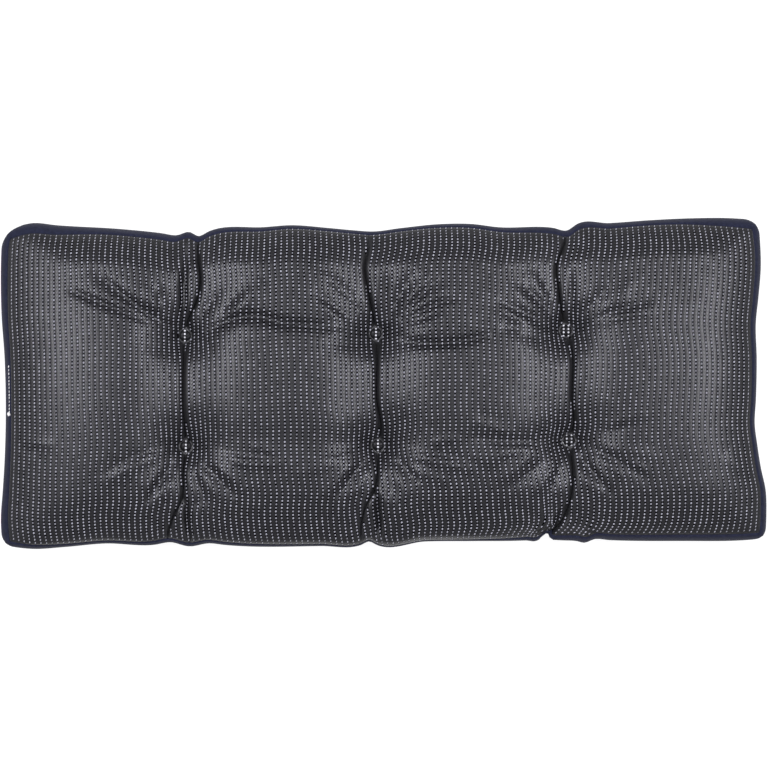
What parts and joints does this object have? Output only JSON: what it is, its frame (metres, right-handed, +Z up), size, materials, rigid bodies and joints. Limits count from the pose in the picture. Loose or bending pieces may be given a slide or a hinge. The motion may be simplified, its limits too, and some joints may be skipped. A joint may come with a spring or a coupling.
{
  "type": "bench cushion",
  "caption": "Long filled bench cushion in dark ribbed cloth, tufted into soft sections with covered buttons, with a plain back panel; it lies flat on a seat.",
  "frame": {"origin": "middle of the bounding box, on the surface that the cushion lies on", "axes": "+X along the bench, +Y towards the back edge, +Z up through the tufted face"},
  "size_m": [0.9181, 0.3973, 0.094],
  "materials": {
    "ribbed_cloth": "soft sheen, woven with raised grey ribs",
    "button_cloth": "soft sheen, the same ribbed cloth over a button",
    "back_cloth": "matt, plain weave",
    "raised_yarn": "soft sheen, raised yarn stitches on the ribs",
    "closing_thread": "matt, hand-sewn thread"
  },
  "bodies": {
    "root": {"cushion": "ribbed_cloth", "button_left_back": "button_cloth", "button_left_front": "button_cloth", "button_middle_back": "button_cloth", "button_middle_front": "button_cloth", "button_right_back": "button_cloth", "button_right_front": "button_cloth"}
  },
  "joints": []
}
